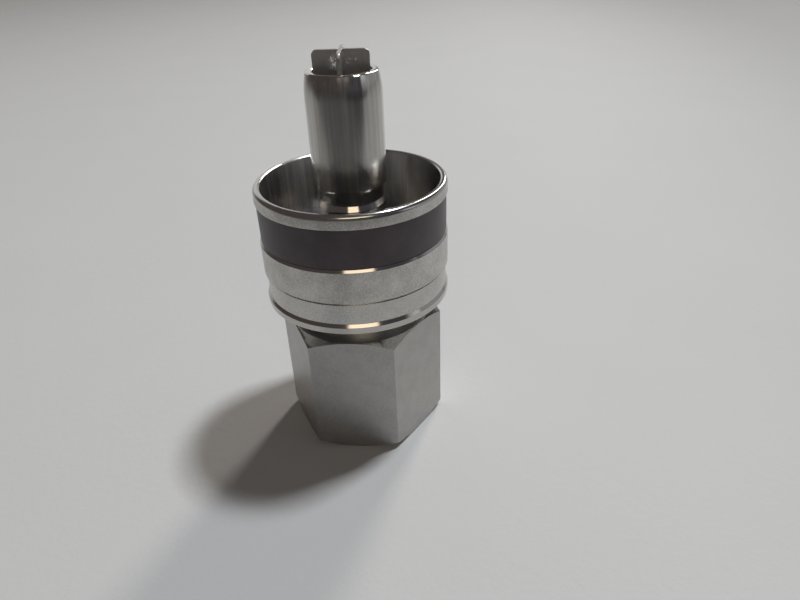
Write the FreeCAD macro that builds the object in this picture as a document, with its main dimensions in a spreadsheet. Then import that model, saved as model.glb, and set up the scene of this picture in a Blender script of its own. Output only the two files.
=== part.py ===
# Quick connect coupling: the half with the nose, standing on its hexagon, sleeve and valve at rest.
# Millimetres, +Z up, origin at the middle of the hexagon's bottom face, a flat of the hexagon facing -Y.
import FreeCAD, Part
import math
import os
import re
import Sketcher

# Driving sizes. Radii are from the coupling's own axis unless the name says otherwise.
SIZES = {
    # End fitting: hexagon bar with the pipe port below, and the neck that the lock housing screws on.
    "hex_flats": 22.225,
    "hex_height": 20.3,
    "hex_bevel_angle": 30,
    "hex_bevel_inset": 0.1,
    "port_radius": 7.35,
    "port_depth": 10.5,
    "port_bevel": 1.2,
    "web_thickness": 1.5,
    "orifice_radius": 4.0,
    "neck_wall": 1.4,
    "neck_height": 2.3,
    # Nose: a tube with a flange at its foot, a waist and a rounded tip.
    "nose_radius": 5.285,
    "nose_wall": 1.235,
    "nose_length": 15.6,
    "nose_step": 0.285,
    "waist_depth": 0.4,
    "waist_slope": 1.1,
    "waist_length": 2.0,
    "post_length": 14.8,
    "flange_thickness": 1.2,
    "flange_inset": 0.1,
    "spigot_length": 1.0,
    "gasket_thickness": 0.4,
    "tip_length": 2.3,
    "tip_bulge_radius": 5.0,
    "tip_bevel": 0.3,
    "mouth_bevel": 0.1,
    # Lock housing: tube that the neck screws into, cage for the balls, groove for the stop ring.
    "housing_wall": 1.15,
    "housing_floor": 1.2,
    "cage_wall": 1.3,
    "cage_lip": 0.7,
    "cage_bevel": 0.3,
    "ball_count": 8,
    "ball_radius": 1.19,
    "ball_seat": 0.6,
    "ball_seat_narrowing": 0.2,
    "ball_gap": 0.1,
    "ball_above_floor": 4.0,
    # Stop ring: the split ring that the sleeve rests against.
    "ring_above_balls": 1.7,
    "ring_thickness": 0.6,
    "ring_reach": 2.2,
    "ring_groove_depth": 0.4,
    "ring_play": 0.05,
    "ring_split_angle": 20,
    # Release sleeve, from its lip up: lip, marking band, satin land, colour band, rim.
    "sleeve_travel": 2.0,
    "travel_gap": 1.5,
    "skirt_depth": 2.5,
    "skirt_gap": 0.95,
    "skirt_bevel": 0.3,
    "lip_height": 1.05,
    "lip_bevel": 0.15,
    "marking_depth": 0.32,
    "marking_length": 3.7,
    "satin_length": 5.05,
    "shoulder_angle": 32.5,
    "band_length": 6.0,
    "band_recess": 0.2,
    "band_shoulder_inset": 0.05,
    "band_thickness": 0.3,
    "band_play": 0.05,
    "land_length": 2.05,
    "rim_bevel_width": 0.4,
    "rim_bevel_height": 0.65,
    "edge_bevel": 0.1,
    "cup_gap": 1.55,
    "cup_wall": 1.05,
    "cam_slope": 0.3,
    # Valve: head, round seal and the two crossed plates.
    "valve_travel": 2.5,
    "seal_stand": 0.4,
    "seal_seat": 0.85,
    "seal_width": 0.9,
    "seal_thickness": 0.85,
    "seal_bevel": 0.1,
    "seal_play": 0.05,
    "head_margin": 0.9,
    "head_thickness": 3.0,
    "head_bevel": 0.3,
    "head_gap": 0.8,
    "boss_radius": 4.3,
    "boss_height": 1.0,
    "cross_gap": 0.24,
    "cross_corner": 0.7,
    "cross_angle": 4.45,
    "plate_thickness": 0.5,
    "plate_play": 0.04,
    "slot_depth": 2.0,
    # Springs and fits.
    "sleeve_wire_width": 0.6,
    "sleeve_wire_height": 0.5,
    "valve_wire_width": 0.8,
    "valve_wire_height": 0.7,
    "spring_turns": 3.25,
    "fit_gap": 0.1,
    "thread_gap": 0.05,
    "slide_gap": 0.1,
}

# Places and sizes that follow from the driving ones, first the radii from the nose outwards.
PLACES = {
    "bore_radius": "nose_radius - nose_wall",
    "post_radius": "nose_radius - nose_step",
    "waist_radius": "post_radius - waist_depth",
    "seal_ring_radius": "bore_radius + seal_seat",
    "head_radius": "seal_ring_radius + head_margin",
    "chamber_radius": "head_radius + head_gap",
    "neck_radius": "chamber_radius + neck_wall",
    "housing_bore": "neck_radius + thread_gap",
    "flange_radius": "neck_radius - flange_inset",
    "spigot_radius": "chamber_radius - fit_gap",
    "cage_radius": "housing_bore + housing_wall",
    "pocket_radius": "cage_radius - cage_wall",
    "ball_ring_radius": "pocket_radius + ball_seat",
    "ball_pocket_radius": "ball_radius + ball_gap",
    "ring_inner_radius": "cage_radius - ring_groove_depth + ring_play",
    "ring_outer_radius": "cage_radius + ring_reach",
    "cup_radius": "ring_outer_radius + cup_gap",
    "sleeve_radius": "cup_radius + cup_wall",
    "marking_radius": "sleeve_radius - marking_depth",
    "band_outer_radius": "sleeve_radius - band_recess",
    "band_inner_radius": "band_outer_radius - band_thickness",
    "guide_radius": "cage_radius + slide_gap",
    "cross_radius": "bore_radius - cross_gap",
    "sleeve_coil_radius": "cage_radius + fit_gap",
    "skirt_radius": "sleeve_coil_radius + sleeve_wire_width + skirt_gap",
    "valve_coil_radius": "boss_radius + fit_gap * 2",
    # Heights, from the hexagon's bottom face up.
    "web_top": "port_depth + web_thickness",
    "neck_top": "hex_height + neck_height",
    "flange_bottom": "neck_top + gasket_thickness",
    "flange_top": "flange_bottom + flange_thickness",
    "floor_top": "flange_top + housing_floor",
    "ball_height": "floor_top + ball_above_floor",
    "ridge_top": "ball_height + ring_above_balls",
    "ring_top": "ridge_top + ring_thickness",
    "cage_top": "ring_top + cage_lip",
    "sleeve_bottom": "hex_height + sleeve_travel + travel_gap",
    "ridge_bottom": "sleeve_bottom + skirt_depth",
    "lip_top": "sleeve_bottom + lip_height",
    "marking_top": "lip_top + marking_length",
    "band_bottom": "marking_top + satin_length",
    "band_top": "band_bottom + band_length",
    "rim_top": "band_top + land_length",
    "seat_height": "flange_bottom - spigot_length",
    "seal_top": "seat_height - seal_play",
    "seal_bottom": "seal_top - seal_thickness",
    "seal_inner_radius": "seal_ring_radius - seal_width / 2",
    "seal_outer_radius": "seal_ring_radius + seal_width / 2",
    "head_top": "seat_height - seal_stand",
    "head_bottom": "head_top - head_thickness",
    "plate_bottom": "head_top - slot_depth",
    "waist_bottom": "flange_top + post_length",
    "nose_bottom": "waist_bottom + waist_length",
    "nose_top": "nose_bottom + nose_length",
    "plate_top": "nose_top + valve_travel",
    "plate_middle": "(plate_bottom + plate_top) / 2",
    # The cam cone keeps the balls' gap square to itself, and starts where it meets the guide land.
    "cam_radius": "ball_ring_radius + ball_pocket_radius * sqrt(1 + cam_slope ^ 2)",
    "cam_top_radius": "cam_radius + cam_slope * ring_above_balls",
    "cam_bottom": "ball_height - (cam_radius - guide_radius) / cam_slope",
    # Heights of the two bevelled shoulders, and how far the nose's long curve comes in.
    "lip_rise": "marking_depth / tan(shoulder_angle * 1deg)",
    "band_rise": "(band_recess + band_shoulder_inset) / tan(shoulder_angle * 1deg)",
    "tip_rise": "tip_length - tip_bevel",
    "tip_inset": "tip_bulge_radius - sqrt(tip_bulge_radius ^ 2 - tip_rise ^ 2)",
    # Bevel of the hexagon bar's ends.
    "hex_corner_radius": "hex_flats / sqrt(3)",
    "hex_face_radius": "hex_flats / 2 - hex_bevel_inset",
    "hex_bevel_height": "(hex_corner_radius - hex_face_radius) * tan(hex_bevel_angle * 1deg)",
    "bevel_overrun": "hex_bevel_inset * tan(hex_bevel_angle * 1deg)",
}

doc = FreeCAD.newDocument("quick_connect_coupling")
sheet = doc.addObject("Spreadsheet::Sheet", "sizes")
for row, (name, size) in enumerate(SIZES.items(), 1):
    sheet.set("A%d" % row, name)
    sheet.set("B%d" % row, str(size))
    sheet.setAlias("B%d" % row, name)
doc.recompute()


def bound(text):
    """The expression behind a text of size and place names."""
    def swap(match):
        word = match.group()
        if word in PLACES:
            return "(" + bound(PLACES[word]) + ")"
        return "sizes." + word if word in SIZES else word
    return re.sub(r"[a-z]\w*", swap, text)


def value(text):
    """The number that a text of size and place names stands for now."""
    return float(sheet.evalExpression(bound(text)))


def new_body(label):
    body = doc.addObject("PartDesign::Body", label)
    body.Label = label
    return body


def new_sketch(body, name, role, lift=None):
    """A sketch on one of the body's own planes, raised along its normal by lift."""
    sketch = body.newObject("Sketcher::SketchObject", name)
    plane = [feature for feature in body.Origin.OriginFeatures if feature.Role == role][0]
    sketch.AttachmentSupport = [(plane, "")]
    sketch.MapMode = "FlatFace"
    if lift:
        sketch.setExpression("AttachmentOffset.Base.z", bound(lift))
    return sketch


def fix(sketch, kind, *target, size):
    """One dimension of a sketch, bound to the sheet."""
    number = sketch.addConstraint(Sketcher.Constraint(kind, *target, value(size)))
    sketch.setExpression("Constraints[%d]" % number, bound(size))


def arc_between(start, end, radius):
    """A counterclockwise arc of less than half a turn."""
    half = (end - start) * 0.5
    inward = FreeCAD.Vector(-half.y, half.x, 0).normalize()
    centre = start + half + inward * math.sqrt(max(radius ** 2 - half.Length ** 2, 0))
    circle = Part.Circle(centre, FreeCAD.Vector(0, 0, 1), radius)
    return Part.ArcOfCircle(circle, circle.parameter(start), circle.parameter(end))


def draw_outline(sketch, corners):
    """A closed outline, counterclockwise. A corner with a third text starts an arc of that radius."""
    points = [FreeCAD.Vector(value(corner[0]), value(corner[1]), 0) for corner in corners]
    edges = []
    for number, corner in enumerate(corners):
        start, end = points[number], points[(number + 1) % len(points)]
        if len(corner) == 3:
            edges.append(sketch.addGeometry(arc_between(start, end, value(corner[2]))))
        else:
            edges.append(sketch.addGeometry(Part.LineSegment(start, end)))
    for number, corner in enumerate(corners):
        edge = edges[number]
        following = edges[(number + 1) % len(edges)]
        sketch.addConstraint(Sketcher.Constraint("Coincident", edge, 2, following, 1))
        fix(sketch, "DistanceX", -1, 1, edge, 1, size=corner[0])
        fix(sketch, "DistanceY", -1, 1, edge, 1, size=corner[1])
        if len(corner) == 3:
            fix(sketch, "Radius", edge, size=corner[2])


def box_corners(left, bottom, right, top):
    return [(left, bottom), (right, bottom), (right, top), (left, top)]


def turn(body, name, outlines, kind="Revolution"):
    """A turned feature about the body's Z axis, or with the kind Groove a turned cut."""
    sketch = new_sketch(body, name + "_profile", "XZ_Plane")
    for corners in outlines:
        draw_outline(sketch, corners)
    feature = body.newObject("PartDesign::" + kind, name)
    feature.Profile = sketch
    feature.ReferenceAxis = (sketch, ["V_Axis"])
    feature.Angle = 360
    return feature


def turned_piece(label, corners):
    body = new_body(label)
    turn(body, label + "_turning", [corners])
    return body


def make_end_fitting():
    """Hexagon bar, bevelled, with the neck on top, the port from below and the valve chamber."""
    body = new_body("end_fitting")
    bar = body.newObject("PartDesign::AdditivePrism", "hexagon_bar")
    bar.Polygon = 6
    bar.setExpression("Circumradius", bound("hex_corner_radius"))
    bar.setExpression("Height", bound("hex_height"))
    # Each bevel's cutter reaches past the corners, on the bevel's own slope.
    top_bevel = [("hex_face_radius", "hex_height"),
                 ("hex_corner_radius + hex_bevel_inset", "hex_height - hex_bevel_height - bevel_overrun"),
                 ("hex_corner_radius + hex_bevel_inset", "hex_height")]
    bottom_bevel = [("hex_face_radius", "0"),
                    ("hex_corner_radius + hex_bevel_inset", "0"),
                    ("hex_corner_radius + hex_bevel_inset", "hex_bevel_height + bevel_overrun")]
    turn(body, "end_bevels", [top_bevel, bottom_bevel], "Groove")
    turn(body, "neck", [box_corners("chamber_radius", "web_top", "neck_radius", "neck_top")])
    bore = [("0", "0"), ("port_radius + port_bevel", "0"), ("port_radius", "port_bevel"),
            ("port_radius", "port_depth"), ("orifice_radius", "port_depth"),
            ("orifice_radius", "web_top"), ("chamber_radius", "web_top"),
            ("chamber_radius", "neck_top"), ("0", "neck_top")]
    turn(body, "bore", [bore], "Groove")
    return body


def make_nose():
    """Tube with spigot and flange below, waist above its post, long curve and small bevel at the tip."""
    return turned_piece("nose", [
        ("bore_radius", "seat_height"), ("spigot_radius", "seat_height"),
        ("spigot_radius", "flange_bottom"), ("flange_radius", "flange_bottom"),
        ("flange_radius", "flange_top"), ("post_radius", "flange_top"),
        ("post_radius", "waist_bottom - waist_slope"), ("waist_radius", "waist_bottom"),
        ("waist_radius", "nose_bottom"), ("post_radius", "nose_bottom"),
        ("nose_radius", "nose_bottom + nose_step"),
        ("nose_radius", "nose_top - tip_length", "tip_bulge_radius"),
        ("nose_radius - tip_inset", "nose_top - tip_bevel"),
        ("nose_radius - tip_inset - tip_bevel", "nose_top"),
        ("bore_radius + mouth_bevel", "nose_top"), ("bore_radius", "nose_top - mouth_bevel")])


def make_nose_gasket():
    return turned_piece("nose_gasket", box_corners("chamber_radius", "neck_top", "flange_radius", "flange_bottom"))


def make_lock_housing():
    """Tube and ball cage in one piece, screwed on the neck so that its floor holds the nose down."""
    body = turned_piece("lock_housing", [
        ("housing_bore", "hex_height"), ("cage_radius", "hex_height"),
        ("cage_radius", "ridge_top - ring_play"),
        ("cage_radius - ring_groove_depth", "ridge_top - ring_play"),
        ("cage_radius - ring_groove_depth", "ring_top + ring_play"),
        ("cage_radius", "ring_top + ring_play"), ("cage_radius", "cage_top - cage_bevel"),
        ("cage_radius - cage_bevel", "cage_top"), ("pocket_radius + cage_bevel", "cage_top"),
        ("pocket_radius", "cage_top - cage_bevel"), ("pocket_radius", "floor_top"),
        ("post_radius + fit_gap", "floor_top"), ("post_radius + fit_gap", "flange_top"),
        ("housing_bore", "flange_top")])
    # A ball's pocket is a radial hole that narrows inwards, so the ball shows inside but can't fall in.
    sketch = new_sketch(body, "ball_pocket_profile", "XZ_Plane")
    draw_outline(sketch, [
        ("pocket_radius - fit_gap", "ball_height"), ("cage_radius + fit_gap", "ball_height"),
        ("cage_radius + fit_gap", "ball_height + ball_pocket_radius"),
        ("ball_ring_radius", "ball_height + ball_pocket_radius"),
        ("pocket_radius - fit_gap", "ball_height + ball_pocket_radius - ball_seat_narrowing")])
    pocket = body.newObject("PartDesign::Groove", "ball_pocket")
    pocket.Profile = sketch
    pocket.ReferenceAxis = (sketch, ["Edge1"])
    pocket.Angle = 360
    doc.recompute()
    pattern = body.newObject("PartDesign::PolarPattern", "ball_pockets")
    pattern.Originals = [pocket]
    pattern.Axis = ([axis for axis in body.Origin.OriginFeatures if axis.Role == "Z_Axis"][0], [""])
    pattern.Angle = 360
    pattern.setExpression("Occurrences", bound("ball_count"))
    body.Tip = pattern
    return body


def make_lock_balls():
    balls = []
    for number in range(round(SIZES["ball_count"])):
        label = "lock_ball_%d" % (number + 1)
        ball = doc.addObject("Part::Sphere", label)
        ball.Label = label
        ball.setExpression("Radius", bound("ball_radius"))
        bearing = "(%d * 360deg / ball_count)" % number
        ball.setExpression("Placement.Base.x", bound("ball_ring_radius * cos(" + bearing + ")"))
        ball.setExpression("Placement.Base.y", bound("ball_ring_radius * sin(" + bearing + ")"))
        ball.setExpression("Placement.Base.z", bound("ball_height"))
        balls.append(ball)
    return balls


def make_stop_ring():
    """Split ring: a rectangle turned through less than a full turn, its split centred on the back."""
    body = new_body("stop_ring")
    ring = turn(body, "ring_turning",
                [box_corners("ring_inner_radius", "ridge_top", "ring_outer_radius", "ring_top")])
    ring.setExpression("Angle", bound("360 - ring_split_angle"))
    body.setExpression("Placement.Rotation.Angle", bound("(90 + ring_split_angle / 2) * 1deg"))
    return body


def make_release_sleeve():
    """Lip, marking band, satin land, band groove and rim outside; cup, cam ridge and skirt inside."""
    return turned_piece("release_sleeve", [
        ("skirt_radius + skirt_bevel", "sleeve_bottom"), ("sleeve_radius - lip_bevel", "sleeve_bottom"),
        ("sleeve_radius", "sleeve_bottom + lip_bevel"), ("sleeve_radius", "lip_top"),
        ("marking_radius", "lip_top + lip_rise"), ("marking_radius", "marking_top"),
        ("sleeve_radius - edge_bevel", "marking_top"), ("sleeve_radius", "marking_top + edge_bevel"),
        ("sleeve_radius", "band_bottom - band_rise"),
        ("band_outer_radius - band_shoulder_inset", "band_bottom"), ("band_inner_radius", "band_bottom"),
        ("band_inner_radius", "band_top"), ("sleeve_radius - edge_bevel", "band_top"),
        ("sleeve_radius", "band_top + edge_bevel"), ("sleeve_radius", "rim_top - rim_bevel_height"),
        ("sleeve_radius - rim_bevel_width", "rim_top"), ("cup_radius + edge_bevel", "rim_top"),
        ("cup_radius", "rim_top - edge_bevel"), ("cup_radius", "ridge_top"),
        ("cam_top_radius", "ridge_top"), ("guide_radius", "cam_bottom"),
        ("guide_radius", "ridge_bottom"), ("skirt_radius", "ridge_bottom"),
        ("skirt_radius", "sleeve_bottom + skirt_bevel")])


def make_colour_band():
    return turned_piece("colour_band", box_corners(
        "band_inner_radius", "band_bottom + band_play", "band_outer_radius", "band_top - band_play"))


def make_valve_poppet():
    """Valve head with a seal groove and a cross of slots above, and a boss for its spring below."""
    body = turned_piece("valve_poppet", [
        ("0", "head_bottom - boss_height"), ("boss_radius - head_bevel", "head_bottom - boss_height"),
        ("boss_radius", "head_bottom - boss_height + head_bevel"), ("boss_radius", "head_bottom"),
        ("head_radius - head_bevel", "head_bottom"), ("head_radius", "head_bottom + head_bevel"),
        ("head_radius", "head_top"), ("seal_outer_radius", "head_top"),
        ("seal_outer_radius", "seal_bottom"), ("seal_inner_radius", "seal_bottom"),
        ("seal_inner_radius", "head_top"), ("0", "head_top")])
    half_width = "(plate_thickness / 2 + plate_play)"
    half_length = "(cross_radius + plate_play)"
    sketch = new_sketch(body, "cross_slots_outline", "XY_Plane", "head_top")
    arm = [(half_width, half_width), (half_width, half_length),
           ("-" + half_width, half_length), ("-" + half_width, half_width),
           ("-" + half_length, half_width), ("-" + half_length, "-" + half_width),
           ("-" + half_width, "-" + half_width), ("-" + half_width, "-" + half_length),
           (half_width, "-" + half_length), (half_width, "-" + half_width),
           (half_length, "-" + half_width), (half_length, half_width)]
    draw_outline(sketch, arm)
    slots = body.newObject("PartDesign::Pocket", "cross_slots")
    slots.Profile = sketch
    slots.setExpression("Length", bound("slot_depth"))
    body.setExpression("Placement.Rotation.Angle", bound("cross_angle * 1deg"))
    return body


def make_poppet_seal():
    """Ring of square section, pressed into the head's groove and standing out of it towards the seat."""
    return turned_piece("poppet_seal", [
        ("seal_inner_radius", "seal_bottom"), ("seal_outer_radius", "seal_bottom"),
        ("seal_outer_radius", "seal_top - seal_bevel"), ("seal_outer_radius - seal_bevel", "seal_top"),
        ("seal_inner_radius + seal_bevel", "seal_top"), ("seal_inner_radius", "seal_top - seal_bevel")])


def make_cross_plate(label, slot_from_top, bearing):
    """Thin plate with round upper corners, half-lapped with the other one at mid height."""
    body = new_body(label)
    sketch = new_sketch(body, label + "_outline", "XZ_Plane")
    slot = "(plate_thickness / 2 + plate_play)"
    corners = [("-cross_radius", "plate_bottom"), ("cross_radius", "plate_bottom"),
               ("cross_radius", "plate_top - cross_corner", "cross_corner"),
               ("cross_radius - cross_corner", "plate_top"),
               ("-cross_radius + cross_corner", "plate_top", "cross_corner"),
               ("-cross_radius", "plate_top - cross_corner")]
    if slot_from_top:
        lap = "plate_middle - plate_play"
        corners[4:4] = [(slot, "plate_top"), (slot, lap), ("-" + slot, lap), ("-" + slot, "plate_top")]
    else:
        lap = "plate_middle + plate_play"
        corners[1:1] = [("-" + slot, "plate_bottom"), ("-" + slot, lap), (slot, lap), (slot, "plate_bottom")]
    draw_outline(sketch, corners)
    plate = body.newObject("PartDesign::Pad", label + "_sheet")
    plate.Profile = sketch
    plate.SideType = "Symmetric"
    plate.setExpression("Length", bound("plate_thickness"))
    body.setExpression("Placement.Rotation.Angle", bound(bearing))
    return body


def make_spring(label, bottom, top, coil_radius, width, height):
    """Flat-sided wire wound between two faces, its ends ground flat on them."""
    body = new_body(label)
    sketch = new_sketch(body, label + "_wire", "XZ_Plane")
    outer = coil_radius + " + " + width
    draw_outline(sketch, box_corners(coil_radius, bottom + " - " + height + " / 4",
                                     outer, bottom + " + " + height + " * 3 / 4"))
    coil = body.newObject("PartDesign::AdditiveHelix", label + "_coil")
    coil.Profile = sketch
    coil.ReferenceAxis = (sketch, ["V_Axis"])
    coil.Mode = 0
    rise = top + " - " + bottom + " - " + height + " / 2"
    coil.setExpression("Height", bound(rise))
    coil.setExpression("Pitch", bound("(" + rise + ") / spring_turns"))
    below = box_corners("0", bottom + " - " + height, outer + " + fit_gap", bottom)
    above = box_corners("0", top, outer + " + fit_gap", top + " + " + height)
    turn(body, label + "_grinding", [below, above], "Groove")
    return body


nodes = [make_end_fitting(), make_nose_gasket(), make_nose(), make_lock_housing(), make_stop_ring()]
nodes += make_lock_balls()
nodes += [make_release_sleeve(), make_colour_band()]
nodes.append(make_spring("sleeve_spring", "hex_height", "ridge_bottom", "sleeve_coil_radius",
                         "sleeve_wire_width", "sleeve_wire_height"))
nodes += [make_valve_poppet(), make_poppet_seal()]
nodes.append(make_cross_plate("cross_plate_a", True, "cross_angle * 1deg"))
nodes.append(make_cross_plate("cross_plate_b", False, "(90 + cross_angle) * 1deg"))
nodes.append(make_spring("valve_spring", "web_top", "head_bottom", "valve_coil_radius",
                         "valve_wire_width", "valve_wire_height"))
doc.recompute()

for item in doc.Objects:
    if "Invalid" in item.State or "Error" in item.State:
        raise RuntimeError("%s failed: %s" % (item.Name, item.State))
os.makedirs("parts", exist_ok=True)
for node in nodes:
    shape = node.Shape
    if shape.isNull() or not shape.isValid() or len(shape.Solids) != 1:
        raise RuntimeError("%s isn't one valid solid" % node.Label)
for node in nodes:
    node.Shape.exportStep("parts/%s.step" % node.Label)
    print("%-16s %9.2f mm3" % (node.Label, node.Shape.Volume))
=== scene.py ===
# Quick connect coupling as photographed: dressed steel pieces, paper floor, lamps and camera.
import math
import bpy
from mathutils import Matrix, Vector


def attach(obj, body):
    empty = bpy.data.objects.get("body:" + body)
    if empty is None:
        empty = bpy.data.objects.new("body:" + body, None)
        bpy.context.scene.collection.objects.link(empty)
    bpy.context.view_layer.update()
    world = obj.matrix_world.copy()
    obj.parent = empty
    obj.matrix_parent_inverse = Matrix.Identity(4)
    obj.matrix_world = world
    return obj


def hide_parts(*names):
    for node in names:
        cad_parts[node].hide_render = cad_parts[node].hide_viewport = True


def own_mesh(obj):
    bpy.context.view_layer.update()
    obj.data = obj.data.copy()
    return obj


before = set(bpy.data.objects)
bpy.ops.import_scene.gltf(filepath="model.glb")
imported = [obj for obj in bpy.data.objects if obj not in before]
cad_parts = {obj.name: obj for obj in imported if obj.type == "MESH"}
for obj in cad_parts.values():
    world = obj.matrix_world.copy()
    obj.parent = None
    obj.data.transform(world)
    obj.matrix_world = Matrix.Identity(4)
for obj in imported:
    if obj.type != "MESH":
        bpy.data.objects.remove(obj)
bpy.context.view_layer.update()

MM = 0.001

# Sizes in millimetres, as the coupling is built: radii from its axis, heights from the hexagon's foot.
HEX_FLATS = 22.225
HEX_TOP = 20.3
PORT = 7.35
PORT_TOP = 10.5
WEB_TOP = 12.0
ORIFICE = 4.0
CHAMBER = 6.6
NECK = 8.0
NECK_TOP = 22.6

SPIGOT_BOTTOM = 22.0
FLANGE = 7.9
FLANGE_BOTTOM = 23.0
FLANGE_TOP = 24.2
POST = 5.0
WAIST = 4.6
WAIST_BOTTOM = 39.0
WAIST_SLOPE = 0.7
NOSE = 5.285
NOSE_BORE = 4.05
NOSE_BOTTOM = 41.0
NOSE_TOP = 56.6
BULGE = 12.0
BULGE_RISE = 3.15

HOUSING_BORE = 8.05
CAGE = 9.2
CAGE_BORE = 7.9
CAGE_FLOOR = 25.4
CAGE_TOP = 32.4
CAGE_BEVEL = 0.3
BALL = 1.19
BALL_RING = 8.5
BALL_HEIGHT = 29.4
BALL_COUNT = 8
RING_INSIDE = 8.85
RING_OUTSIDE = 11.4
RING_THICKNESS = 0.6
RING_PLAY = 0.05
RING_TURN = 340

SLEEVE = 14.0
CUP = 12.95
RIDGE_BOTTOM = 26.3
RIDGE_TOP = 31.1
GUIDE = 9.3
CAM_BOTTOM = 27.577
CAM_TOP = 10.357
SKIRT = 10.85
SKIRT_BEVEL = 0.3
LIP_BOTTOM = 23.8
LIP_TOP = 24.85
LIP_BEVEL = 0.15
MARKING = 13.68
MARKING_TOP = 28.8
GROOVE = 13.5
GROOVE_WIDTH = 0.42
BAND = 13.8
BAND_PLAY = 0.05
BAND_BOTTOM = 33.9
BAND_TOP = 39.6
SHOULDER_ANGLE = math.radians(32.5)
RIM_TOP = 41.65
RIM_ROUND_WIDTH = 0.55
RIM_ROUND = 0.7

VALVE_BOTTOM = 17.6
VALVE_BOSS = 4.3
VALVE_BOSS_TOP = 18.6
VALVE = 5.8
VALVE_TOP = 21.6
VALVE_BEVEL = 0.3
SEAL_INSIDE = 4.45
SEAL_OUTSIDE = 5.35
SEAL_BOTTOM = 21.1
SEAL_TOP = 21.95
SEAL_BEVEL = 0.1
PLATE_BOTTOM = 19.6
PLATE_TOP = 59.1
PLATE_REACH = 3.81
PLATE_THICKNESS = 0.5
PLATE_CORNER = 0.7
SLOT = 0.58
SLOT_PLAY = 0.04
CROSS_BEARING = 4.45


# Modelling steps.
def pick(piece):
    """Selects this piece alone."""
    bpy.ops.object.select_all(action="DESELECT")
    piece.select_set(True)
    bpy.context.view_layer.objects.active = piece


def point_at(name, radius, height):
    """A new piece of one point, above the radius on the X axis, open for editing."""
    bpy.ops.object.select_all(action="DESELECT")
    bpy.ops.mesh.primitive_plane_add(size=MM, location=(0, 0, 0))
    piece = bpy.context.object
    piece.name = piece.data.name = name
    bpy.ops.object.mode_set(mode="EDIT")
    bpy.ops.mesh.select_all(action="SELECT")
    bpy.ops.mesh.merge(type="CENTER")
    bpy.ops.transform.translate(value=(radius * MM, 0, height * MM))
    return piece


def draw(corners):
    """Extrudes the one point round a closed outline of (radius, height) corners."""
    here = corners[0]
    for corner in corners[1:] + corners[:1]:
        step = ((corner[0] - here[0]) * MM, 0, (corner[1] - here[1]) * MM)
        bpy.ops.mesh.extrude_region_move(TRANSFORM_OT_translate={"value": step})
        here = corner
    merge_doubles()


def merge_doubles():
    bpy.ops.mesh.select_all(action="SELECT")
    bpy.ops.mesh.remove_doubles(threshold=2e-7)


def face_outwards():
    """Closes the editing of a piece, with its faces turned outwards."""
    merge_doubles()
    bpy.ops.mesh.normals_make_consistent(inside=False)
    bpy.ops.object.mode_set(mode="OBJECT")


def turned(name, corners, steps=192):
    """An outline turned on the lathe, round the coupling's axis."""
    piece = point_at(name, *corners[0])
    draw(corners)
    bpy.ops.mesh.spin(steps=steps, angle=math.tau, center=(0, 0, 0), axis=(0, 0, 1))
    face_outwards()
    return piece


def arc(radius, height, reach, rise, start, end, steps=6):
    """Corners along a round of the outline, from one angle to another, in degrees."""
    angles = [math.radians(start + (end - start) * step / steps) for step in range(steps + 1)]
    return [(radius + reach * math.cos(angle), height + rise * math.sin(angle)) for angle in angles]


def apply(piece, kind, **settings):
    """Adds a modifier with these settings and applies it."""
    pick(piece)
    modifier = piece.modifiers.new(kind.lower(), kind)
    for name, setting in settings.items():
        setattr(modifier, name, setting)
    bpy.ops.object.modifier_apply(modifier=modifier.name)


def wind(wire, turns, climb, steps):
    """Winds a cross-section up its helix, closes both ends and leaves the wire open for editing."""
    bpy.ops.object.mode_set(mode="OBJECT")
    apply(wire, "SCREW", axis="Z", angle=math.tau * turns, screw_offset=climb * MM,
          steps=int(steps * turns), use_merge_vertices=False)
    bpy.ops.object.mode_set(mode="EDIT")
    bpy.ops.mesh.select_all(action="DESELECT")
    bpy.ops.mesh.select_non_manifold()
    bpy.ops.mesh.edge_face_add()


def carve(piece, tool, operation="DIFFERENCE"):
    """Cuts a tool out of a piece, or keeps only what lies in it."""
    apply(piece, "BOOLEAN", object=tool, operation=operation, solver="EXACT")
    bpy.data.objects.remove(tool)
    bpy.ops.object.mode_set(mode="EDIT")
    merge_doubles()
    bpy.ops.object.mode_set(mode="OBJECT")


def break_edges(piece, width, segments=2, crisp=False):
    """Takes the sharpness off the piece's corners and shades its curves smooth.

    On a crisp piece the narrow faces keep their own slope in a reflection."""
    corner_angle = math.radians(24)
    pick(piece)
    if crisp:
        bpy.ops.object.shade_smooth_by_angle(angle=corner_angle)
    apply(piece, "BEVEL", width=width * MM, segments=segments, limit_method="ANGLE", harden_normals=crisp,
          angle_limit=corner_angle, miter_outer="MITER_ARC", loop_slide=True)
    if not crisp:
        bpy.ops.object.shade_smooth_by_angle(angle=math.radians(50))
        apply(piece, "WEIGHTED_NORMAL", keep_sharp=True)


def turn_by(piece, degrees):
    """Turns a piece round the coupling's axis, its mesh with it."""
    pick(piece)
    piece.rotation_euler.z = math.radians(degrees)
    bpy.ops.object.transform_apply(location=True, rotation=True, scale=True)


def copy_of(piece, name, bearing):
    """A copy with its own mesh, turned round the coupling's axis."""
    other = piece.copy()
    other.data = piece.data.copy()
    other.name = other.data.name = name
    bpy.context.scene.collection.objects.link(other)
    turn_by(other, bearing)
    return other


def mount(piece, body, node, slot, *finishes, rule=None):
    """Gives a piece its finishes, rides it on its body and stands it in for its node.

    The rule picks a finish for each face, from the face's radius, height and normal."""
    for finish in finishes:
        piece.data.materials.append(finish)
    if rule:
        for face in piece.data.polygons:
            radius = math.hypot(face.center.x, face.center.y) / MM
            face.material_index = rule(radius, face.center.z / MM, face.normal)
    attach(piece, body)
    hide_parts(node)


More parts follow.
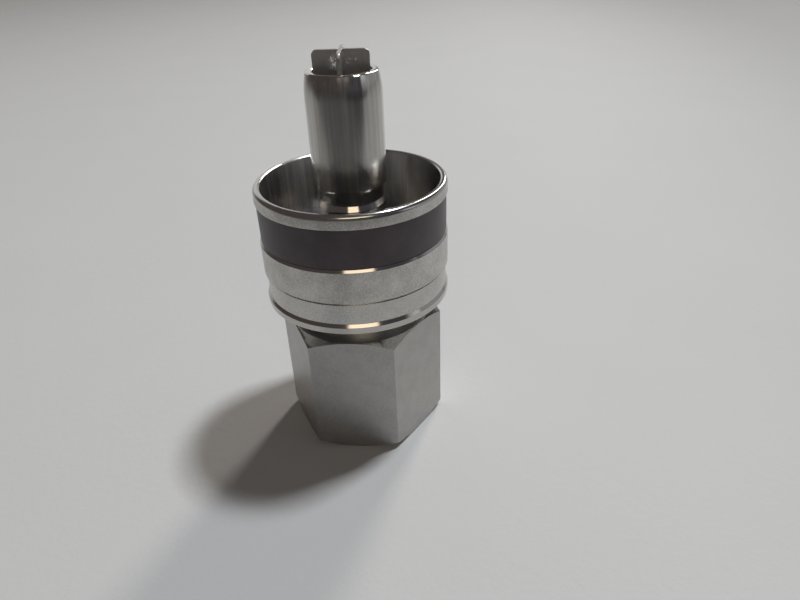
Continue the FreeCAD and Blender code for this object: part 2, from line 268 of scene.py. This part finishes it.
# Finishes.
class Wire:
    """A value in a finish: arithmetic on it adds Math nodes."""

    def __init__(self, finish, socket):
        self.finish = finish
        self.socket = socket

    def __add__(self, other):
        return self.finish.maths("ADD", self, other)

    def __sub__(self, other):
        return self.finish.maths("SUBTRACT", self, other)

    def __rsub__(self, other):
        return self.finish.maths("SUBTRACT", other, self)

    def __mul__(self, other):
        return self.finish.maths("MULTIPLY", self, other)

    def __truediv__(self, other):
        return self.finish.maths("DIVIDE", self, other)

    def __neg__(self):
        return self.finish.maths("MULTIPLY", self, -1.0)

    def __pow__(self, other):
        return self.finish.maths("POWER", self, other)

    def between(self, low, high):
        """0 below the low end, 1 above the high end, smooth between them."""
        return self.finish.add("MapRange", {"interpolation_type": "SMOOTHSTEP"},
                               {"Value": self, "From Min": low, "From Max": high})

    __radd__ = __add__
    __rmul__ = __mul__


class Finish:
    """The node tree of one finish, or of the room round the coupling."""

    def __init__(self, owner, place="Object"):
        owner.use_nodes = True
        self.tree = owner.node_tree
        self.shader = self.tree.nodes.get("Principled BSDF") or self.tree.nodes.get("Background")
        self.place = self.add("TexCoord", out=place)

    def add(self, kind, settings=None, sockets=None, out=0):
        """A new node of this kind, as the value that it puts out."""
        node = self.tree.nodes.new("ShaderNode" + kind)
        for name, setting in (settings or {}).items():
            setattr(node, name, setting)
        for name, value in (sockets or {}).items():
            self.feed(node.inputs[name], value)
        return Wire(self, node.outputs[out])

    def feed(self, socket, value):
        """Links a value to a socket, or sets a number or colour on it."""
        if isinstance(value, Wire):
            self.tree.links.new(value.socket, socket)
        elif socket.type == "RGBA":
            socket.default_value = (*value, 1)
        else:
            socket.default_value = value

    def set(self, **values):
        for name, value in values.items():
            self.feed(self.shader.inputs[name.replace("_", " ")], value)

    def maths(self, operation, first, second=0.0):
        return self.add("Math", {"operation": operation}, {0: first, 1: second})

    def mix(self, share, low, high):
        return self.add("Mix", {"data_type": "RGBA"}, {"Factor": share, 6: low, 7: high}, out=2)

    def axes(self):
        node = self.add("SeparateXYZ", None, {0: self.place}).socket.node
        return [Wire(self, node.outputs[axis]) for axis in range(3)]

    def grain(self, size, detail=3.0, stretch=(1, 1, 1)):
        """Noise of about that size in millimetres, from 0 to 1, drawn out along an axis if need be."""
        scale = [1 / (size * MM * along) for along in stretch]
        spread = self.add("Mapping", {"vector_type": "POINT"}, {"Vector": self.place, "Scale": scale})
        return self.add("TexNoise", None,
                        {"Vector": spread, "Scale": 1.0, "Detail": detail, "Roughness": 0.6})

    def turning(self, size):
        """Noise that runs in rings round the axis, as a lathe tool leaves it."""
        x, y, z = self.axes()
        radius = (x * x + y * y) ** 0.5
        ring = self.add("CombineXYZ", None, {0: radius / (size * MM), 1: z / (size * MM)})
        return self.add("TexNoise", {"noise_dimensions": "2D"},
                        {"Vector": ring, "Scale": 1.0, "Detail": 2.0, "Roughness": 0.7})

    def patch(self, angle, middle, width, blur):
        """1 where the angle is within half the width of the middle, 0 outside, in degrees."""
        low, high = middle - width / 2, middle + width / 2
        return angle.between(low - blur, low + blur) - angle.between(high - blur, high + blur)

    def sector(self, x, y, middle, width, blur):
        """The same for a bearing, in degrees from +X towards +Y."""
        return self.patch(self.maths("ARCTAN2", y, x) * math.degrees(1), middle, width, blur)

    def bump(self, height, depth):
        """Relief of that depth in millimetres."""
        return self.add("Bump", None, {"Height": height, "Distance": depth * MM, "Strength": 1.0})


def shade(red, green, blue):
    """A colour from its screen values, 0 to 255."""
    return [(part / 255) ** 2.2 for part in (red, green, blue)]


def steel(name, low, high, gloss, spread, relief, grain_size=0.22, lathe=0.0, streak=0.0):
    """Bare stainless steel: a mottled colour, a rough grain and, on turned pieces, rings from the tool.

    The colour lies between low and high, the roughness about as far as the spread from the gloss, and the
    relief is in millimetres. A streak draws a reflection out along the axis, by as much as it says."""
    material = bpy.data.materials.new(name)
    finish = Finish(material)
    fine = finish.grain(grain_size)
    cloud = finish.grain(2.6, detail=4.0)
    height = fine
    rough = fine * spread + cloud * (spread * 0.6) + (gloss - spread * 0.8)
    tone = fine * 0.6 + cloud * 0.4
    if lathe:
        rings = finish.turning(0.12)
        height = fine * (1 - lathe) + rings * lathe
        rough = rough + (rings - 0.5) * (spread * 0.8)
        tone = tone * (1 - lathe * 0.5) + rings * (lathe * 0.5)
    if streak:
        drawn = finish.grain(0.5, stretch=(1, 1, 60))
        height = drawn
        rough = drawn * spread * 2 + (gloss - spread)
        tone = tone * 0.3 + drawn * 0.7
    finish.set(Base_Color=finish.mix(tone.between(0.3, 0.7), low, high), Metallic=1.0, Roughness=rough,
               Normal=finish.bump(height, relief), Anisotropic=streak, Anisotropic_Rotation=0.25)
    return material


def plastic(name, low, high, gloss, relief, index=1.5):
    """Plastic or rubber: a clouded colour and a fine moulded grain."""
    material = bpy.data.materials.new(name)
    finish = Finish(material)
    fine = finish.grain(0.3)
    cloud = finish.grain(4.0)
    finish.set(Base_Color=finish.mix(cloud.between(0.35, 0.65), low, high), Roughness=fine * 0.15 + gloss,
               Normal=finish.bump(fine, relief), IOR=index)
    return material


bar_steel = steel("bar_steel", (0.38, 0.37, 0.355), (0.50, 0.49, 0.475), 0.42, 0.14, 0.008, grain_size=0.2)
satin_steel = steel("satin_steel", (0.4, 0.385, 0.36), (0.74, 0.72, 0.69), 0.38, 0.2, 0.028, grain_size=0.19)
edge_steel = steel("edge_steel", (0.48, 0.46, 0.43), (0.56, 0.54, 0.51), 0.11, 0.05, 0.0006, lathe=0.6)
marking_steel = steel("marking_steel", (0.44, 0.43, 0.41), (0.60, 0.59, 0.57), 0.28, 0.12, 0.006, lathe=0.3)
rim_steel = steel("rim_steel", (0.50, 0.48, 0.46), (0.56, 0.54, 0.52), 0.19, 0.04, 0.0006)
cup_steel = steel("cup_steel", (0.42, 0.42, 0.42), (0.66, 0.65, 0.64), 0.24, 0.05, 0.0016, streak=0.65)
nose_steel = steel("nose_steel", (0.44, 0.42, 0.40), (0.62, 0.60, 0.57), 0.15, 0.05, 0.0016, streak=0.9)
fin_steel = steel("fin_steel", (0.58, 0.565, 0.56), (0.66, 0.645, 0.64), 0.38, 0.05, 0.0004, grain_size=0.3)
coil_steel = steel("coil_steel", (0.42, 0.41, 0.40), (0.55, 0.54, 0.53), 0.26, 0.10, 0.003)
ball_steel = steel("ball_steel", (0.60, 0.60, 0.60), (0.66, 0.66, 0.66), 0.08, 0.04, 0.0006)
ring_plastic = plastic("ring_plastic", shade(58, 48, 53), shade(68, 57, 62), 0.36, 0.008, index=1.65)
washer_plastic = plastic("washer_plastic", shade(214, 212, 205), shade(226, 224, 218), 0.45, 0.006)
seal_rubber = plastic("seal_rubber", shade(34, 34, 36), shade(44, 44, 46), 0.55, 0.012)


# Hexagon fitting: a turned blank cut to the hexagon, then its pipe thread.
def pipe_thread(pitch=1.411, mouth=7.15, root=8.35):
    """A closed helical ridge, to cut the thread with."""
    half = (root - mouth) * math.tan(math.radians(30))
    turns = 7.5
    ridge = point_at("thread_tool", mouth, -pitch - half)
    draw([(mouth, -pitch - half), (root, -pitch), (mouth, -pitch + half)])
    bpy.ops.mesh.edge_face_add()
    wind(ridge, turns, pitch * turns, 72)
    face_outwards()
    return ridge


blank = 13.4
port_bevel = 1.2
face_edge = HEX_FLATS / 2 - 0.1
bevel_drop = (blank - face_edge) * math.tan(math.radians(30))
hexagon_bar = turned("hexagon_bar", [
    (PORT + port_bevel, 0), (face_edge, 0), (blank, bevel_drop), (blank, HEX_TOP - bevel_drop),
    (face_edge, HEX_TOP), (NECK, HEX_TOP), (NECK, NECK_TOP), (CHAMBER, NECK_TOP), (CHAMBER, WEB_TOP),
    (ORIFICE, WEB_TOP), (ORIFICE, PORT_TOP), (PORT, PORT_TOP), (PORT, port_bevel)])
bpy.ops.mesh.primitive_cylinder_add(vertices=6, radius=HEX_FLATS / math.sqrt(3) * MM, depth=60 * MM,
                                    rotation=(0, 0, math.pi / 2))
carve(hexagon_bar, bpy.context.object, "INTERSECT")
carve(hexagon_bar, pipe_thread())
break_edges(hexagon_bar, 0.09)


def bar_finish(radius, height, normal):
    """Bright thread and bevels, dull flats and ends."""
    return 1 if radius < 9 or 0.2 < abs(normal.z) < 0.95 else 0


mount(hexagon_bar, "fitting", "end_fitting", "satin_steel", bar_steel, edge_steel, rule=bar_finish)

# Nose: spigot and flange below, waist above the post, long curve to the mouth.
nose_tube = turned("nose_tube", [
    (NOSE_BORE, SPIGOT_BOTTOM), (CHAMBER - 0.1, SPIGOT_BOTTOM), (CHAMBER - 0.1, FLANGE_BOTTOM),
    (FLANGE, FLANGE_BOTTOM), (FLANGE, FLANGE_TOP), (POST, FLANGE_TOP), (POST, WAIST_BOTTOM - WAIST_SLOPE),
    (WAIST, WAIST_BOTTOM), (WAIST, NOSE_BOTTOM), (POST, NOSE_BOTTOM), (NOSE, NOSE_BOTTOM + NOSE - POST)]
    + arc(NOSE - BULGE, NOSE_TOP - 3.3, BULGE, BULGE, 0, math.degrees(math.asin(BULGE_RISE / BULGE)), 10)
    + arc(4.48, NOSE_TOP - 0.42, 0.5, 0.42, 40, 90)
    + [(NOSE_BORE + 0.1, NOSE_TOP), (NOSE_BORE, NOSE_TOP - 0.1)])
break_edges(nose_tube, 0.06, crisp=True)


def nose_finish(radius, height, normal):
    """Streaked bore, bright flange, post and waist, and the drawn look of the nose."""
    if radius < NOSE_BORE + 0.05:
        return 1
    return 2 if height < NOSE_BOTTOM + 0.3 else 0


mount(nose_tube, "fitting", "nose", "turned_steel", nose_steel, cup_steel, edge_steel, rule=nose_finish)

nose_washer = turned("nose_washer", [
    (CHAMBER, NECK_TOP), (FLANGE, NECK_TOP), (FLANGE, FLANGE_BOTTOM), (CHAMBER, FLANGE_BOTTOM)], 96)
break_edges(nose_washer, 0.04)
mount(nose_washer, "fitting", "nose_gasket", "seal_plastic", washer_plastic)


# Lock housing: a tube round the neck with the cage on top, and a pocket for each ball.
def ball_pockets():
    """Radial cutters that narrow towards the nose."""
    bpy.ops.object.select_all(action="DESELECT")
    bpy.ops.mesh.primitive_cylinder_add(vertices=48, radius=(BALL + 0.1) * MM, depth=2 * MM,
                                        location=((BALL_RING + 1) * MM, 0, BALL_HEIGHT * MM),
                                        rotation=(0, math.pi / 2, 0))
    tool = bpy.context.object
    bpy.ops.object.transform_apply(location=True, rotation=True, scale=True)
    for face in tool.data.polygons:
        face.select = face.normal.x < -0.9
    bpy.ops.object.mode_set(mode="EDIT")
    bpy.ops.mesh.select_mode(type="FACE")
    bpy.ops.mesh.extrude_region_move(TRANSFORM_OT_translate={"value": (-0.9 * MM, 0, 0)})
    bpy.ops.transform.resize(value=(1, 0.82, 0.82))
    bpy.ops.mesh.select_mode(type="VERT")
    bpy.ops.mesh.select_all(action="SELECT")
    bpy.ops.mesh.spin(steps=BALL_COUNT, dupli=True, angle=math.tau, center=(0, 0, 0), axis=(0, 0, 1))
    face_outwards()
    return tool


ring_top = RIDGE_TOP + RING_THICKNESS
ball_cage = turned("ball_cage", [
    (HOUSING_BORE, HEX_TOP), (CAGE, HEX_TOP), (CAGE, RIDGE_TOP - RING_PLAY),
    (RING_INSIDE - RING_PLAY, RIDGE_TOP - RING_PLAY), (RING_INSIDE - RING_PLAY, ring_top + RING_PLAY),
    (CAGE, ring_top + RING_PLAY), (CAGE, CAGE_TOP - CAGE_BEVEL), (CAGE - CAGE_BEVEL, CAGE_TOP),
    (CAGE_BORE + CAGE_BEVEL, CAGE_TOP), (CAGE_BORE, CAGE_TOP - CAGE_BEVEL), (CAGE_BORE, CAGE_FLOOR),
    (POST + 0.1, CAGE_FLOOR), (POST + 0.1, FLANGE_TOP), (HOUSING_BORE, FLANGE_TOP)])
carve(ball_cage, ball_pockets())
break_edges(ball_cage, 0.04)
mount(ball_cage, "fitting", "lock_housing", "turned_steel", cup_steel)

# Lock balls: one polished ball, copied round the cage.
bpy.ops.object.select_all(action="DESELECT")
bpy.ops.mesh.primitive_cube_add(size=BALL * 2 * MM, location=(BALL_RING * MM, 0, BALL_HEIGHT * MM))
first_ball = bpy.context.object
first_ball.name = first_ball.data.name = "bearing_ball_1"
bpy.ops.object.mode_set(mode="EDIT")
bpy.ops.mesh.select_all(action="SELECT")
bpy.ops.mesh.subdivide(number_cuts=13)
bpy.ops.transform.tosphere(value=1)
bpy.ops.object.mode_set(mode="OBJECT")
bpy.ops.object.transform_apply(location=True, rotation=True, scale=True)
bpy.ops.object.shade_smooth()
balls = [first_ball]
for number in range(2, BALL_COUNT + 1):
    balls.append(copy_of(first_ball, "bearing_ball_%d" % number, 360 / BALL_COUNT * (number - 1)))
for number, ball in enumerate(balls, 1):
    mount(ball, "lock_ball_%d" % number, "lock_ball_%d" % number, "ball_steel", ball_steel)

# Stop ring: flat wire turned through less than a full turn, its split at the back.
snap_ring = point_at("snap_ring", RING_INSIDE, RIDGE_TOP)
draw([
    (RING_INSIDE, RIDGE_TOP), (RING_OUTSIDE, RIDGE_TOP), (RING_OUTSIDE, ring_top), (RING_INSIDE, ring_top)])
bpy.ops.mesh.edge_face_add()
bpy.ops.mesh.spin(steps=RING_TURN // 2, angle=math.radians(RING_TURN), center=(0, 0, 0), axis=(0, 0, 1))
face_outwards()
turn_by(snap_ring, 90 + (360 - RING_TURN) / 2)
break_edges(snap_ring, 0.06)
mount(snap_ring, "fitting", "stop_ring", "spring_steel", coil_steel)

# Release sleeve: lip, marking band, satin land, band groove and rim; cup, cam and skirt inside.
marking_bottom = LIP_TOP + 0.32 / math.tan(SHOULDER_ANGLE)
satin_top = BAND_BOTTOM - 0.25 / math.tan(SHOULDER_ANGLE)
rim_bottom = RIM_TOP - RIM_ROUND
sleeve_shell = turned("sleeve_shell", [
    (SKIRT + SKIRT_BEVEL, LIP_BOTTOM), (SLEEVE - LIP_BEVEL, LIP_BOTTOM), (SLEEVE, LIP_BOTTOM + LIP_BEVEL),
    (SLEEVE, LIP_TOP), (MARKING, marking_bottom), (MARKING, MARKING_TOP - GROOVE_WIDTH),
    (GROOVE, MARKING_TOP - GROOVE_WIDTH), (GROOVE, MARKING_TOP), (SLEEVE, MARKING_TOP), (SLEEVE, satin_top),
    (SLEEVE - 0.25, BAND_BOTTOM), (GROOVE, BAND_BOTTOM), (GROOVE, BAND_TOP), (SLEEVE - 0.1, BAND_TOP),
    (SLEEVE, BAND_TOP + 0.1)]
    + arc(SLEEVE - RIM_ROUND_WIDTH, rim_bottom, RIM_ROUND_WIDTH, RIM_ROUND, 0, 90, 8)
    + [(CUP + 0.25, RIM_TOP), (CUP + 0.05, RIM_TOP - 0.12), (CUP, RIM_TOP - 0.3), (CUP, RIDGE_TOP),
       (CAM_TOP, RIDGE_TOP), (GUIDE, CAM_BOTTOM), (GUIDE, RIDGE_BOTTOM), (SKIRT, RIDGE_BOTTOM),
       (SKIRT, LIP_BOTTOM + SKIRT_BEVEL)], 256)
break_edges(sleeve_shell, 0.035, crisp=True)


def sleeve_finish(radius, height, normal):
    """Cup inside, satin lands, marking band and rim, and the cutter's bright finish elsewhere."""
    if radius < CUP + 0.2:
        return 3
    on_land = MARKING_TOP < height < satin_top or BAND_TOP + 0.1 < height < rim_bottom
    if radius > SLEEVE - 0.1 and on_land:
        return 0
    if radius < MARKING + 0.12 and marking_bottom < height < MARKING_TOP:
        return 2
    return 4 if height > rim_bottom else 1


mount(sleeve_shell, "sleeve", "release_sleeve", "sleeve_steel", satin_steel, edge_steel, marking_steel,
      cup_steel, rim_steel, rule=sleeve_finish)

colour_ring = turned("colour_ring", [
    (GROOVE, BAND_BOTTOM + BAND_PLAY), (BAND, BAND_BOTTOM + BAND_PLAY), (BAND, BAND_TOP - BAND_PLAY),
    (GROOVE, BAND_TOP - BAND_PLAY)])
break_edges(colour_ring, 0.08, 3)
mount(colour_ring, "sleeve", "colour_band", "band_plastic", ring_plastic)

# Valve: head with its seal, and the two crossed plates that the mating half presses on.
valve_head = turned("valve_head", [
    (0, VALVE_BOTTOM), (VALVE_BOSS - VALVE_BEVEL, VALVE_BOTTOM), (VALVE_BOSS, VALVE_BOTTOM + VALVE_BEVEL),
    (VALVE_BOSS, VALVE_BOSS_TOP), (VALVE - VALVE_BEVEL, VALVE_BOSS_TOP),
    (VALVE, VALVE_BOSS_TOP + VALVE_BEVEL), (VALVE, VALVE_TOP), (SEAL_OUTSIDE, VALVE_TOP),
    (SEAL_OUTSIDE, SEAL_BOTTOM), (SEAL_INSIDE, SEAL_BOTTOM), (SEAL_INSIDE, VALVE_TOP), (0, VALVE_TOP)], 128)
for slot_size in ((7.7, SLOT, 2.0), (SLOT, 7.7, 2.0)):
    bpy.ops.mesh.primitive_cube_add(size=MM, location=(0, 0, (PLATE_BOTTOM + 1) * MM), scale=slot_size)
    slot_tool = bpy.context.object
    turn_by(slot_tool, CROSS_BEARING)
    carve(valve_head, slot_tool)
break_edges(valve_head, 0.04)
mount(valve_head, "valve", "valve_poppet", "turned_steel", cup_steel)

valve_seal = turned("valve_seal", [
    (SEAL_INSIDE, SEAL_BOTTOM), (SEAL_OUTSIDE, SEAL_BOTTOM), (SEAL_OUTSIDE, SEAL_TOP - SEAL_BEVEL),
    (SEAL_OUTSIDE - SEAL_BEVEL, SEAL_TOP), (SEAL_INSIDE + SEAL_BEVEL, SEAL_TOP),
    (SEAL_INSIDE, SEAL_TOP - SEAL_BEVEL)], 96)
break_edges(valve_seal, 0.08, 3)
mount(valve_seal, "valve", "poppet_seal", "seal_rubber", seal_rubber)


def cross_fin(name, slot_from_top, bearing):
    """A sheet steel plate with round upper corners and a slot for its partner."""
    half, slot, lap = PLATE_REACH, SLOT / 2, (PLATE_BOTTOM + PLATE_TOP) / 2
    round_side, round_height = half - PLATE_CORNER, PLATE_TOP - PLATE_CORNER
    right = arc(round_side, round_height, PLATE_CORNER, PLATE_CORNER, 0, 90)
    left = arc(-round_side, round_height, PLATE_CORNER, PLATE_CORNER, 90, 180)
    below, above = [], []
    if slot_from_top:
        end = lap - SLOT_PLAY
        above = [(slot, PLATE_TOP), (slot, end), (-slot, end), (-slot, PLATE_TOP)]
    else:
        end = lap + SLOT_PLAY
        below = [(-slot, PLATE_BOTTOM), (-slot, end), (slot, end), (slot, PLATE_BOTTOM)]
    corners = [(-half, PLATE_BOTTOM)] + below + [(half, PLATE_BOTTOM)] + right + above + left
    fin = point_at(name, *corners[0])
    draw(corners)
    bpy.ops.mesh.edge_face_add()
    bpy.ops.transform.translate(value=(0, -PLATE_THICKNESS / 2 * MM, 0))
    bpy.ops.mesh.extrude_region_move(TRANSFORM_OT_translate={"value": (0, PLATE_THICKNESS * MM, 0)})
    face_outwards()
    turn_by(fin, bearing)
    break_edges(fin, 0.05)
    return fin


def fin_finish(radius, height, normal):
    """Rolled faces, and dull cut edges at the rim of the plate."""
    return 1 if radius > PLATE_REACH - 0.11 or height > PLATE_TOP - 0.1 else 0


cross_fin_a = cross_fin("cross_fin_a", True, CROSS_BEARING)
mount(cross_fin_a, "valve", "cross_plate_a", "plate_steel", fin_steel, bar_steel, rule=fin_finish)
cross_fin_b = cross_fin("cross_fin_b", False, 90 + CROSS_BEARING)
mount(cross_fin_b, "valve", "cross_plate_b", "plate_steel", fin_steel, bar_steel, rule=fin_finish)


# Springs: flat wire coils, each with its own mesh.
def coil(name, bottom, top, radius, width, height, turns=3.25):
    """Flat-sided wire wound between two faces, its ends ground flat on them."""
    low, high = bottom - height / 4, bottom + height * 3 / 4
    wire = point_at(name, radius, low)
    draw([(radius, low), (radius + width, low), (radius + width, high), (radius, high)])
    bpy.ops.mesh.bevel(offset=0.12 * MM, offset_pct=0, segments=3, affect="VERTICES")
    wind(wire, turns, top - bottom - height / 2, 80)
    for plane, facing in ((bottom, -1), (top, 1)):
        bpy.ops.mesh.select_all(action="SELECT")
        bpy.ops.mesh.bisect(plane_co=(0, 0, plane * MM), plane_no=(0, 0, facing), use_fill=True,
                            clear_outer=True)
    face_outwards()
    bpy.ops.object.shade_smooth_by_angle(angle=math.radians(40))
    return wire


sleeve_coil = coil("sleeve_coil", HEX_TOP, RIDGE_BOTTOM, GUIDE, 0.6, 0.5)
mount(sleeve_coil, "fitting", "sleeve_spring", "spring_steel", coil_steel)
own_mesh(sleeve_coil)
valve_coil = coil("valve_coil", WEB_TOP, VALVE_BOSS_TOP, VALVE_BOSS + 0.2, 0.8, 0.7)
mount(valve_coil, "fitting", "valve_spring", "spring_steel", coil_steel)
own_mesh(valve_coil)

# Paper under the coupling: pale and faintly mottled, with painted shade darkening it away from the coupling
# and towards the right. Painted shade on its front and its left is seen only in the steel's reflections.
bpy.ops.object.select_all(action="DESELECT")
bpy.ops.mesh.primitive_circle_add(vertices=128, radius=2.2, fill_type="NGON", location=(0, 0, 0))
paper = bpy.context.object
paper.name = paper.data.name = "paper"
material = bpy.data.materials.new("paper")
finish = Finish(material)
x, y = finish.axes()[:2]
pulp = finish.grain(1.4, detail=4.0)
blotches = finish.grain(40.0, detail=2.0)
in_steel = finish.add("LightPath", out="Is Glossy Ray")
# Painted shade: a darker strip across the front of the paper, seen only in reflections.
painted_front_shade = (-y).between(0.082, 0.096)
distance = ((x - 0.06) ** 2 + (y + 0.05) ** 2) ** 0.5
# Painted shade on the paper's left, away from the coupling, seen only in reflections.
left = finish.sector(x, y, -160, 70, 6) * (1 - painted_front_shade) * ((distance - 0.1) ** 2).between(0.0005, 0.0016)
# The paper's light is painted shade: darker with distance and towards the right, and darker in reflections
# at the front and left.
light = 0.95 - distance * 0.1 - x.between(0.03, 0.25) * 0.3 - in_steel * (painted_front_shade * 0.7 + left * 0.28)
pale = finish.mix(blotches, (0.60, 0.605, 0.61), (0.63, 0.635, 0.64))
finish.set(Base_Color=finish.mix(light, (0, 0, 0), pale), Roughness=0.85, Normal=finish.bump(pulp, 0.05))
paper.data.materials.append(material)


# Lamps.
def lamp(name, bearing, elevation, distance, width, height, power, colour):
    """A soft lamp at a bearing from +X towards +Y, facing the coupling's middle."""
    bearing, elevation = math.radians(bearing), math.radians(elevation)
    flat = distance * math.cos(elevation)
    place = Vector((flat * math.cos(bearing), flat * math.sin(bearing), distance * math.sin(elevation)))
    bpy.ops.object.light_add(type="AREA", location=place)
    light = bpy.context.object
    light.name = light.data.name = name
    light.rotation_euler = (Vector((0, 0, 0.03)) - place).to_track_quat("-Z", "Y").to_euler()
    light.data.shape = "RECTANGLE"
    light.data.size = width
    light.data.size_y = height
    light.data.energy = power
    light.data.color = colour


lamp("key", 36, 68, 1.1, 0.124, 0.124, 7.66, (0.95, 0.98, 1.0))
lamp("window", 72, 30, 5.0, 0.66, 2.8, 97, (1.0, 0.93, 0.84))

# The room: the steel reflects it, dark in front and overhead, and the camera sees it plain and pale.
world = bpy.data.worlds.new("room")
bpy.context.scene.world = world
room = Finish(world, "Generated")
x, y, z = room.axes()
upwards = room.maths("ARCSINE", z) * math.degrees(1)
low_window = room.sector(x, y, -13, 18, 3) * room.patch(upwards, 17, 14, 3)
warm_lamp = room.sector(x, y, -78, 38, 2) * room.patch(upwards, 34, 18, 2)
back_wall = room.sector(x, y, 115, 40, 4) * room.patch(upwards, 15, 24, 4)
lit = (1 - room.sector(x, y, -74, 102, 3)) * (1 - (z - x * 0.1).between(0.2, 0.32))
side = (x * 0.55 + y * 0.8).between(-0.45, 0.6)
dark = room.mix((x * 4).between(-1, 1), (0.084, 0.072, 0.07), (0.072, 0.071, 0.08))
walls = room.mix(back_wall, room.mix(lit * side, dark, (0.36, 0.365, 0.38)), (0.75, 0.75, 0.74))
glass = room.mix(low_window, walls, (0.7, 0.72, 0.75))
around = room.mix(warm_lamp, glass, (2.0, 1.7, 1.3))
room.set(Color=room.mix(room.add("LightPath", out="Is Camera Ray"), around, (0.74, 0.74, 0.735)),
         Strength=room.add("LightPath", out="Is Glossy Ray") * 0.26 + 0.74)

# Camera, as the photograph was taken.
bpy.ops.object.camera_add(location=(0.015506, -0.085622, 0.072944),
                          rotation=[math.radians(angle) for angle in (58.9548, 2.0534, 4.8035)])
camera = bpy.context.object
camera.data.sensor_width = 36
camera.data.lens = 28.3238
camera.data.clip_start = 0.005
bpy.context.scene.camera = camera
bpy.context.scene.view_settings.view_transform = "Standard"
